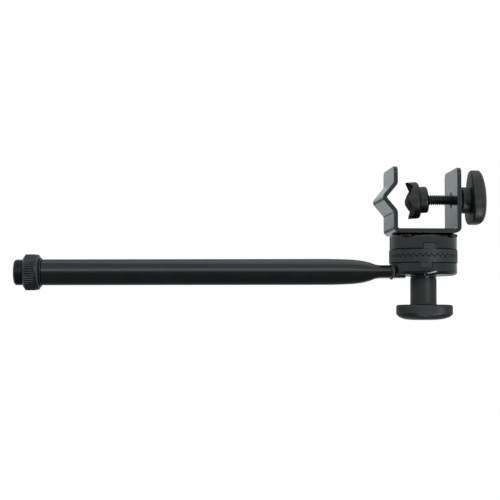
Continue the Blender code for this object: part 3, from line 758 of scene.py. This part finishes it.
def make_cups(paint, edge_paint):
    """The two drawn cups, each notched for its disc's key."""
    inner = CUP_R - CUP_WALL
    rim = -UPPER_RIM + GAP / 2
    outline = fillet([
        (0, 0), (CUP_R, 0, CUP_CORNER_R), (CUP_R, rim, CUP_LIP), (inner, rim, CUP_LIP),
        (inner, -CUP_WALL, MM), (0, -CUP_WALL),
    ], 8)  # fmt: skip
    mesh = revolve("upper_drawn_cup", outline, CUP_STEPS)
    mesh = combine(mesh, key_block(GAP, -UPPER_RIM - MM, -UPPER_RIM + KEY_HEIGHT + GAP, CUP_R + MM))
    piece = add_piece("upper_drawn_cup", mesh, AT_SEAT, (paint, edge_paint))
    belongs(piece, "clamp", "gloss_black_paint", "upper_cup")

    hole = BOLT_R + 2 * GAP
    rim = -LOWER_RIM - GAP / 2
    floor = -CLUTCH_DEPTH + CUP_WALL
    outline = fillet([
        (hole, -CLUTCH_DEPTH, CUP_LIP), (CUP_R, -CLUTCH_DEPTH, CUP_CORNER_R), (CUP_R, rim, CUP_LIP),
        (inner, rim, CUP_LIP), (inner, floor, MM), (hole, floor, CUP_LIP),
    ], 8)  # fmt: skip
    mesh = revolve("lower_drawn_cup", outline, CUP_STEPS)
    mesh = combine(mesh, key_block(GAP, -LOWER_RIM - KEY_HEIGHT - GAP, -LOWER_RIM + MM, CUP_R + MM))
    piece = add_piece("lower_drawn_cup", mesh, AT_ARM, (paint, edge_paint))
    belongs(piece, "arm", "gloss_black_paint", "lower_cup")


def toothed(plane, crest_side):
    """Bends the rings near the tooth plane into teeth. Those that stand towards crest_side are cut flat."""

    def shape(radius, height, angle):
        if abs(height - plane) > TOOTH_BAND:
            return radius, height
        phase = angle / math.tau * TEETH % 1
        wave = 0.5 - abs(2 * phase - 1)
        wave = min(wave, TOOTH_CREST) if crest_side > 0 else max(wave, -TOOTH_CREST)
        return radius, height + wave * TOOTH_HEIGHT * radius / DISC_R

    return shape


def make_discs(nylon):
    """The two toothed discs with their keys, turned so that their teeth mesh at rest."""
    bore = BOLT_R + 2 * GAP
    steps = TEETH * STEPS_PER_TOOTH
    plane = -TOOTH_PLANE + GAP / 2
    pocket = -TOOTH_PLANE + SPRING_POCKET
    top = -CUP_WALL - GAP
    back = -UPPER_RIM - GAP / 2
    outline = fillet([
        (bore, pocket), (TOOTH_INNER_R, pocket), (TOOTH_INNER_R, plane, TOOTH_EDGE),
        (DISC_R, plane, TOOTH_EDGE), (DISC_R, back, DISC_EDGE), (BOSS_R, back), (BOSS_R, top), (bore, top),
    ], 3)  # fmt: skip
    mesh = revolve("upper_clutch_disc", outline, steps, toothed(plane, -1))
    key = key_block(0, -UPPER_RIM - MM, -UPPER_RIM + KEY_HEIGHT, CUP_R - GAP / 2)
    mesh = combine(mesh, key, "UNION")
    piece = add_piece("upper_clutch_disc", mesh, AT_SEAT, (nylon,))
    belongs(piece, "clamp", "clutch_nylon", "upper_toothed_disc")

    plane = -TOOTH_PLANE - GAP / 2
    pocket = -TOOTH_PLANE - SPRING_POCKET
    floor = -CLUTCH_DEPTH + CUP_WALL + GAP
    back = -LOWER_RIM + GAP / 2
    outline = fillet([
        (bore, floor), (BOSS_R, floor), (BOSS_R, back), (DISC_R, back, DISC_EDGE),
        (DISC_R, plane, TOOTH_EDGE), (TOOTH_INNER_R, plane, TOOTH_EDGE), (TOOTH_INNER_R, pocket),
        (bore, pocket),
    ], 3)  # fmt: skip
    mesh = revolve("lower_clutch_disc", outline, steps, toothed(plane, 1))
    mesh.transform(Matrix.Rotation(-ARM_REST_ANGLE, 4, "Z"))
    key = key_block(0, -LOWER_RIM - KEY_HEIGHT, -LOWER_RIM + MM, CUP_R - GAP / 2)
    mesh = combine(mesh, key, "UNION")
    piece = add_piece("lower_clutch_disc", mesh, AT_ARM, (nylon,))
    belongs(piece, "arm", "clutch_nylon", "lower_toothed_disc")


def make_spring(zinc):
    """The release spring, built at rest. The real one stretches as the clutch opens; this mesh stays as it
    is.
    """
    wire, coil = SPRING_WIRE_R, SPRING_COIL_R
    reach = SPRING_POCKET - GAP - wire
    loops = []
    for step in range(SPRING_STEPS + 1):
        angle = math.tau * SPRING_TURNS * step / SPRING_STEPS
        height = reach * (1 - 2 * step / SPRING_STEPS)
        centre = Vector((coil * math.cos(angle), coil * math.sin(angle), height))
        outward = Vector((math.cos(angle), math.sin(angle), 0))
        rim = (math.tau * k / SPRING_SIDES for k in range(SPRING_SIDES))
        loops.append([centre + wire * (outward * math.cos(a) + Vector((0, 0, math.sin(a)))) for a in rim])
        if step in (0, SPRING_STEPS):
            loops.insert(len(loops) * (step > 0), [centre])
    mesh = skin("release_spring", loops)
    place = AT_SEAT @ Matrix.Translation((0, 0, -TOOTH_PLANE))
    piece = add_piece("release_spring", mesh, place, (zinc,))
    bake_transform(piece)
    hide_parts("clutch_spring")


def make_washer(steel):
    """The steel washer between the lower cup and the clutch knob."""
    hole = BOLT_R + GAP
    top = -CLUTCH_DEPTH - GAP
    under = top - WASHER_THICKNESS
    corners = ((hole, top), (WASHER_R, top), (WASHER_R, under), (hole, under))
    outline = fillet([(*corner, WASHER_EDGE) for corner in corners])
    piece = add_piece("washer", revolve("washer", outline), AT_SEAT, (steel,))
    belongs(piece, "clutch_release", "black_steel", "thrust_washer")


# --- knobs -----------------------------------------------------------


def lobed(radius, height, angle):
    """Draws in a knob's head along a wave, full at its rim and fading to nothing at its barrel."""
    inner, outer = KNOB_BARREL_R + KNOB_FILLET, KNOB_R - KNOB_CORNER
    dip = LOBE_HEIGHT * (1 - math.cos(LOBES * (angle - FIRST_LOBE))) / 2
    weight = min(max((radius - inner) / (outer - inner), 0), 1)
    return radius * (1 - dip * weight), height


def knob_mesh(name, inside, back, neck, direction):
    """A lobed knob with a crowned face. direction is the way that its head faces along its axis."""
    crown_r = KNOB_R - KNOB_CORNER
    rise = KNOB_HEAD_DEPTH - KNOB_SIDE - KNOB_CROWN_EDGE
    crown = []
    for part in range(CROWN_STEPS - 1, -1, -1):
        crown.append((crown_r * part / CROWN_STEPS, KNOB_HEAD_DEPTH - rise * (part / CROWN_STEPS) ** 4))
    head = [(KNOB_BARREL_R, 0, KNOB_FILLET), (KNOB_R, 0, KNOB_BACK_EDGE)]
    head += [(KNOB_R, KNOB_SIDE, KNOB_FACE_EDGE), (crown_r, KNOB_HEAD_DEPTH - rise, KNOB_FACE_EDGE), *crown]
    outline = inside + [(KNOB_BARREL_R, back, KNOB_BARREL_EDGE)]
    outline += [(corner[0], neck + direction * corner[1], *corner[2:]) for corner in head]
    return revolve(name, fillet(outline, 7), KNOB_STEPS, lobed)


def make_knobs(plastic):
    """The clutch knob, bored for the bolt and its insert, and the clamp knob, moulded on the screw."""
    back = -CLUTCH_DEPTH - WASHER_THICKNESS - 2 * GAP
    pocket_end = back - INSERT_LENGTH - 2 * GAP
    bore, pocket_r = BOLT_R + 2 * GAP, INSERT_R + GAP
    bore_end = -CLUTCH_KNOB_BORE_END
    inside = [(0, bore_end), (bore, bore_end), (bore, pocket_end)]
    inside += [(pocket_r, pocket_end), (pocket_r, back)]
    mesh = knob_mesh("clutch_hand_knob", inside, back, -CLUTCH_KNOB_NECK, -1)
    piece = add_piece("clutch_hand_knob", mesh, AT_SEAT, (plastic,))
    belongs(piece, "clutch_knob", "black_plastic", "clutch_knob")

    pocket_low = CLAMP_KNOB_BACK + SCREW_HEAD_INSET - GAP
    pocket_high = pocket_low + SCREW_HEAD_HEIGHT + 2 * GAP
    pocket_r = (SCREW_HEAD_FLATS + 2 * GAP) / math.sqrt(3)
    bore = SCREW_R + GAP
    inside = [(0, pocket_high), (pocket_r, pocket_high), (pocket_r, pocket_low), (bore, pocket_low)]
    inside += [(bore, CLAMP_KNOB_BACK)]
    mesh = knob_mesh("clamp_hand_knob", inside, CLAMP_KNOB_BACK, CLAMP_KNOB_NECK, 1)
    piece = add_piece("clamp_hand_knob", mesh, AT_SCREW, (plastic,))
    belongs(piece, "clamp_screw", "black_plastic", "clamp_knob")


# --- clamp screw and jaw ---------------------------------------------


def make_screw(steel):
    """The clamp screw: a grooved nose for the jaw, the thread, and a hex head inside the knob."""
    head_back = CLAMP_KNOB_BACK + SCREW_HEAD_INSET
    shoulder = JAW_PIVOT + JAW_WEB / 2 + 2 * GAP
    nose = shoulder - NOSE_LENGTH
    groove_back = JAW_PIVOT - JAW_WEB / 2 - 2 * GAP
    groove_front = groove_back - MM
    outline = fillet([
        (0, nose), (NOSE_R, nose, NOSE_TIP_EDGE), (NOSE_R, groove_front, SCREW_EDGE),
        (GROOVE_R, groove_front), (GROOVE_R, groove_back), (NOSE_R, groove_back, SCREW_EDGE),
        (NOSE_R, shoulder), (SCREW_R, shoulder, SCREW_EDGE), (SCREW_R, shoulder + MM), (0, shoulder + MM),
    ], 4)  # fmt: skip
    tail = revolve("clamp_screw_thread", outline, SCREW_THREAD_STEPS)
    low, high = shoulder + 0.5 * MM, head_back + 0.5 * MM
    body = thread("thread", SCREW_R, SCREW_PITCH, low, high, SCREW_THREAD_STEPS)
    corner = SCREW_HEAD_FLATS / math.sqrt(3)
    head_top = head_back + SCREW_HEAD_HEIGHT
    head = revolve("head", [(0, head_back), (corner, head_back), (corner, head_top), (0, head_top)], 6)
    piece = add_piece("clamp_screw_thread", join(tail, body, head), AT_SCREW, (steel,))
    belongs(piece, "clamp_screw", "black_steel", "clamp_screw")


def make_nut(steel):
    """The flanged bush that carries the clamp screw, through the bracket's right arm."""
    inner = THROAT / 2 - CLUTCH_OFFSET + NUT_SHANK_INSET
    face = THROAT / 2 - CLUTCH_OFFSET + SHEET + GAP
    top = face + NUT_HEIGHT
    bore = SCREW_R + GAP
    outline = fillet([
        (bore, inner, NUT_SHANK_EDGE), (NUT_SHANK_R, inner, NUT_SHANK_EDGE), (NUT_SHANK_R, face),
        (NUT_R, face, NUT_EDGE), (NUT_R, top, NUT_EDGE), (bore, top, NUT_EDGE),
    ])  # fmt: skip
    piece = add_piece("clinch_nut", revolve("clinch_nut", outline), AT_SCREW, (steel,))
    belongs(piece, "clamp", "black_steel", "screw_nut")


def make_jaw(plastic):
    """A crown-faced pad: two crossing V grooves leave four points. It tilts about its web's middle."""
    front = -JAW_REACH
    flange_back = front + JAW_FLANGE_LENGTH
    back = flange_back + JAW_HUB_LENGTH
    screw_bore, nose_bore = SCREW_R + 3 * GAP, NOSE_R + 2 * GAP
    recess_r = RETAINER_R + 3 * GAP
    outline = fillet([
        (JAW_FLANGE_R, front), (JAW_FLANGE_R, flange_back, JAW_FLANGE_EDGE),
        (JAW_HUB_R, flange_back, JAW_NECK_EDGE), (JAW_HUB_R, back, JAW_HUB_EDGE),
        (screw_bore, back, JAW_BORE_EDGE), (screw_bore, JAW_WEB / 2), (nose_bore, JAW_WEB / 2),
        (nose_bore, -JAW_WEB / 2), (recess_r, -JAW_WEB / 2), (recess_r, front),
    ], 6)  # fmt: skip
    mesh = revolve("crown_pad", outline)
    half = JAW_FLANGE_R * math.sin(math.radians(45))
    wedge = [(front - MM, -half - MM), (front - MM, half + MM), (front + JAW_GROOVE_DEPTH, 0)]
    for turn in (JAW_GROOVE_TILT, JAW_GROOVE_TILT + math.pi / 2):
        groove = prism("groove", wedge, -2 * JAW_FLANGE_R, 2 * JAW_FLANGE_R, lambda a, b, t: (t, b, a))
        groove.transform(Matrix.Rotation(turn, 4, "Z"))
        mesh = combine(mesh, groove)
    tilted = Matrix.Rotation(JAW_TILT, 4, JAW_TILT_AXIS) @ Z_TO_X
    place = Matrix.Translation((SEAT.x + JAW_PIVOT, 0, 0)) @ tilted
    soften(mesh, JAW_CROWN_EDGE)
    piece = add_piece("crown_pad", mesh, place, (plastic, plastic))
    belongs(piece, "jaw", "black_plastic", "jaw_pad")


# --- arm -------------------------------------------------------------


def half_height(distance):
    """The flattened tube's half height at a distance from the clutch axis, on a smooth curve."""
    stations = [(0.0, SQUASH[0][1]), *SQUASH, (TUBE_END / MM, TUBE_R / MM)]
    slopes = [(b[1] - a[1]) / (b[0] - a[0]) for a, b in zip(stations, stations[1:])]
    ends = [0.0]
    for before, after in zip(slopes, slopes[1:]):
        ends.append(2 * before * after / (before + after) if before * after > 0 else 0.0)
    ends.append(0.0)
    place = distance / MM
    k = max(k for k in range(len(stations) - 1) if stations[k][0] <= place + 1e-9)
    (x0, y0), (x1, y1) = stations[k], stations[k + 1]
    t = (place - x0) / (x1 - x0)
    curve = (2 * t**3 - 3 * t**2 + 1) * y0 + (3 * t**2 - 2 * t**3) * y1
    return MM * (curve + (x1 - x0) * ((t**3 - 2 * t**2 + t) * ends[k] + (t**3 - t**2) * ends[k + 1]))


def section(distance, inset=0.0):
    """The tube's section at a distance, set in from its outside. It keeps its girth as it flattens."""
    height = half_height(distance)
    flat = math.pi / 2 * (TUBE_R - height)
    radius = height - inset
    loop = []
    for k in range(ROUND):
        angle = math.tau * (k + 0.5) / ROUND
        side = math.copysign(flat, math.cos(angle))
        loop.append((-distance, side + radius * math.cos(angle), radius * math.sin(angle)))
    return loop


def make_tube(paint, edge_paint):
    """The boom tube, its flattened end coped round the lower cup."""
    flattened_end = SQUASH[-1][0] * MM
    first = SQUASH[0][0] * MM - SQUASH_LEAD
    stations = [TONGUE_REACH] + [first + SQUASH_RUN * k / SQUASH_STEPS for k in range(SQUASH_STEPS + 1)]
    stations = [station for station in stations if station < flattened_end]
    stations += [flattened_end, TUBE_END - TUBE_RIM]
    outer = [section(station) for station in stations]
    rim = [section(TUBE_END - TUBE_RIM_STEP, TUBE_RIM_STEP), section(TUBE_END, TUBE_RIM)]
    inner = [section(station, TUBE_WALL) for station in [TUBE_END, *stations[-2::-1]]]
    mesh = skin("boom", outer + rim + inner)
    low = -CLUTCH_DEPTH + ARM_DROP - GAP
    cope_r = CUP_R + GAP
    outline = [(0, low), (cope_r, low), (cope_r, COPE_HEIGHT), (0, COPE_HEIGHT)]
    mesh = combine(mesh, revolve("cope", outline, CUP_STEPS))
    piece = add_piece("boom", mesh, AT_ARM @ Matrix.Translation((0, 0, -ARM_DROP)), (paint, edge_paint))
    belongs(piece, "arm", "gloss_black_paint", "boom_tube")


def make_arm_welds(paint):
    """A bead on each side, where the flattened tube meets the lower cup."""
    half = SQUASH[0][1] * MM
    offset = half + GAP + WELD_R
    flat = math.pi / 2 * (TUBE_R - half)
    reach = CUP_R + GAP + WELD_R
    for number, side in enumerate((-1, 1), 1):
        points = []
        for k in range(ARM_BEAD_POINTS):
            angle = math.radians(ARM_BEAD_START + ARM_BEAD_TURN * k)
            y = side * (flat + offset * math.cos(angle))
            points.append((-math.sqrt(reach**2 - y**2), y, -ARM_DROP + offset * math.sin(angle)))
        mesh = bead(f"arm_bead_{number}", points, ARM_BEAD_R, ARM_BEAD_RIPPLE, 7.7 * number)
        piece = add_piece(f"arm_bead_{number}", mesh, AT_ARM, (paint,))
        belongs(piece, "arm", "gloss_black_paint", f"arm_weld_{number}")


def make_stud(steel):
    """The threaded stud, pressed into the tube as far as its collar."""
    spigot_r = TUBE_R - TUBE_WALL - GAP
    spigot_end = -(TUBE_END - SPIGOT_LENGTH)
    collar = -(TUBE_END + GAP)
    root = collar - COLLAR_LENGTH
    outline = fillet([
        (0, spigot_end), (spigot_r, spigot_end, SPIGOT_EDGE), (spigot_r, collar),
        (COLLAR_R, collar, COLLAR_EDGE), (COLLAR_R, root, COLLAR_EDGE), (spigot_r, root),
        (spigot_r, root - MM), (0, root - MM),
    ])  # fmt: skip
    collared = revolve("stud", outline)
    length = STUD_END + root + THREAD_RELIEF
    body = thread("thread", STUD_R, STUD_PITCH, 0, length, STUD_THREAD_STEPS, STUD_CHAMFER)
    body.transform(Matrix.Translation((0, 0, root + THREAD_RELIEF)) @ Matrix.Rotation(math.pi, 4, "X"))
    piece = add_piece("stud", join(collared, body), AT_STUD, (steel,))
    belongs(piece, "arm", "black_steel", "threaded_stud")


def make_lock_ring(steel):
    """A nut with straight knurls, a plain rim on the tube side and a round nose on the free side."""
    start, end = -RING_START, -RING_END
    first, last = end + RING_NOSE, start - RING_RIM

    def knurled(radius, height, angle):
        if radius < RING_R - KNURL_BAND:
            return radius, height
        inside = min(max(min(height - first, last - height) / KNURL_FADE, 0), 1)
        groove = abs(2 * (angle / math.tau * RING_KNURLS % 1) - 1) ** 1.5
        return radius - KNURL_DEPTH * inside * groove, height

    bore = STUD_R + GAP
    plain = RING_R - RING_RIM_STEP
    levels = [last - KNURL_FADE * k / 2 for k in range(3)]
    levels += [first + KNURL_FADE * (2 - k) / 2 for k in range(3)]
    outline = fillet([
        (bore, start, 0.3 * MM), (plain, start, RING_RIM_EDGE), (plain, start - 2.3 * MM),
        *((RING_R, level) for level in levels),
        (RING_R - 0.9 * MM, end + 0.8 * MM, 0.5 * MM), (RING_R - 2.1 * MM, end, 0.3 * MM),
        (bore, end, 0.2 * MM),
    ], 4)  # fmt: skip
    mesh = revolve("knurled_ring", outline, RING_KNURLS * STEPS_PER_KNURL, knurled)
    piece = add_piece("knurled_ring", mesh, AT_STUD, (steel,))
    belongs(piece, "lock_ring", "black_steel", "lock_ring")


# --- studio ----------------------------------------------------------


def make_camera():
    """A long lens, a little below the object and tilted up."""
    camera = bpy.data.objects.new("camera", bpy.data.cameras.new("camera"))
    camera.data.lens = CAMERA_LENS
    camera.data.sensor_width = CAMERA_SENSOR
    camera.location = CAMERA_PLACE
    camera.rotation_euler = (math.pi / 2 + CAMERA_PITCH, 0, -CAMERA_HEADING)
    bpy.context.scene.collection.objects.link(camera)
    bpy.context.scene.camera = camera


def square(name, place, size, finish):
    """A flat sheet with a rounded outline, facing up before it is turned."""
    round_r = 0.2 * min(size)
    signs = ((-1, -1), (1, -1), (1, 1), (-1, 1))
    corners = [(x * size[0] / 2, y * size[1] / 2, round_r) for x, y in signs]
    bm = bmesh.new()
    bm.faces.new([bm.verts.new((x, y, 0)) for x, y in fillet(corners, 12)])
    sheet = bpy.data.objects.new(name, to_mesh(name, bm))
    sheet.data.materials.append(finish)
    sheet.matrix_world = place
    bpy.context.scene.collection.objects.link(sheet)
    return sheet


def area_light(name, place, target, size, power):
    """A soft light aimed at a target, whose second side lies in the upright plane of its aim."""
    lamp = bpy.data.objects.new(name, bpy.data.lights.new(name, "AREA"))
    lamp.data.shape = "RECTANGLE"
    lamp.data.size, lamp.data.size_y = size
    lamp.data.energy = power
    lamp.visible_camera = False
    lamp.location = place
    lamp.rotation_euler = (Vector(target) - Vector(place)).to_track_quat("-Z", "Y").to_euler()
    bpy.context.scene.collection.objects.link(lamp)
    return lamp


def room_light(nodes, links, height, stops):
    """The room's light by height, as a colour ramp over the sine of the height."""
    ramp = nodes.new("ShaderNodeValToRGB")
    while len(ramp.color_ramp.elements) < len(stops):
        ramp.color_ramp.elements.new(0.5)
    for element, (rise, light) in zip(ramp.color_ramp.elements, stops):
        element.position = (math.sin(math.radians(rise)) + 1) / 2
        element.color = (*(light * tint for tint in ROOM_TINT), 1.0)
    links.new(height, ramp.inputs["Fac"])
    return ramp.outputs["Color"]


def spread(nodes, links, source, low, high):
    """A value's range from low to high, brought to 0 to 1."""
    node = nodes.new("ShaderNodeMapRange")
    node.inputs["From Min"].default_value = low
    node.inputs["From Max"].default_value = high
    links.new(source, node.inputs["Value"])
    return node.outputs["Result"]


def white_studio():
    """White where the camera looks past the object, and the light of a room that is darker below."""
    world = bpy.data.worlds.new("white_studio")
    world.use_nodes = True
    nodes, links = world.node_tree.nodes, world.node_tree.links
    split = nodes.new("ShaderNodeSeparateXYZ")
    links.new(nodes.new("ShaderNodeTexCoord").outputs["Generated"], split.inputs["Vector"])
    height = spread(nodes, links, split.outputs["Z"], -1.0, 1.0)
    sides = nodes.new("ShaderNodeMixRGB")
    links.new(spread(nodes, links, split.outputs["Y"], -ROOM_BLEND, ROOM_BLEND), sides.inputs["Fac"])
    links.new(room_light(nodes, links, height, FRONT_LIGHT), sides.inputs["Color1"])
    links.new(room_light(nodes, links, height, BACK_LIGHT), sides.inputs["Color2"])
    room = nodes["Background"]
    links.new(sides.outputs["Color"], room.inputs["Color"])
    backdrop = nodes.new("ShaderNodeBackground")
    backdrop.inputs["Color"].default_value = (1.0, 1.0, 1.0, 1.0)
    mix = nodes.new("ShaderNodeMixShader")
    links.new(nodes.new("ShaderNodeLightPath").outputs["Is Camera Ray"], mix.inputs["Fac"])
    links.new(room.outputs["Background"], mix.inputs[1])
    links.new(backdrop.outputs["Background"], mix.inputs[2])
    links.new(mix.outputs["Shader"], nodes["World Output"].inputs["Surface"])
    bpy.context.scene.world = world


def make_studio():
    """A pale floor well below the object, two softboxes, a glint on the cups, the grey card and the room."""
    low, high = cad_box
    centre = (low + high) / 2
    floor_place = Matrix.Translation((centre.x, 0, low.z - FLOOR_DROP))
    floor = square("floor", floor_place, FLOOR_SIZE, pale_floor())
    floor.visible_glossy = False
    floor.visible_diffuse = False
    front = (centre.x, *FRONT_SOFTBOX_YZ)
    area_light("front_softbox", front, centre, FRONT_SOFTBOX_SIZE, FRONT_SOFTBOX_POWER)
    area_light("top_softbox", TOP_SOFTBOX_PLACE, centre, TOP_SOFTBOX_SIZE, TOP_SOFTBOX_POWER)
    below = (*GLINT_XY, low.z - GLINT_DROP)
    glint = area_light("low_glint", below, (SEAT.x, 0, SEAT.z), GLINT_SIZE, GLINT_POWER)
    glint.visible_diffuse = False
    card = square("grey_card", CARD_PLACE, CARD_SIZE, grey_card())
    card.visible_camera = False
    card.visible_diffuse = False
    card.visible_shadow = False
    white_studio()
    bpy.context.scene.view_settings.view_transform = "Standard"


def main():
    """Every finish and piece, then the light and the camera."""
    paint, edge_paint, weld_paint = gloss_enamel(), enamel_edge(), weld_enamel()
    plastic, nylon, steel = satin_plastic(), clutch_nylon(), black_oxide()
    zinc, brass = bright_zinc(), turned_brass()

    make_bracket(paint, edge_paint)
    make_bracket_welds(weld_paint)
    make_cups(paint, edge_paint)
    make_discs(nylon)
    make_spring(zinc)
    make_washer(steel)
    make_knobs(plastic)
    make_screw(steel)
    make_nut(steel)
    make_jaw(plastic)
    make_tube(paint, edge_paint)
    make_arm_welds(weld_paint)
    make_stud(steel)
    make_lock_ring(steel)

    hidden = {"clutch_bolt": zinc, "clutch_knob_insert": brass, "jaw_retaining_ring": steel}
    for node, finish in hidden.items():
        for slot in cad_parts[node].material_slots:
            slot.material = finish

    make_studio()
    make_camera()


main()
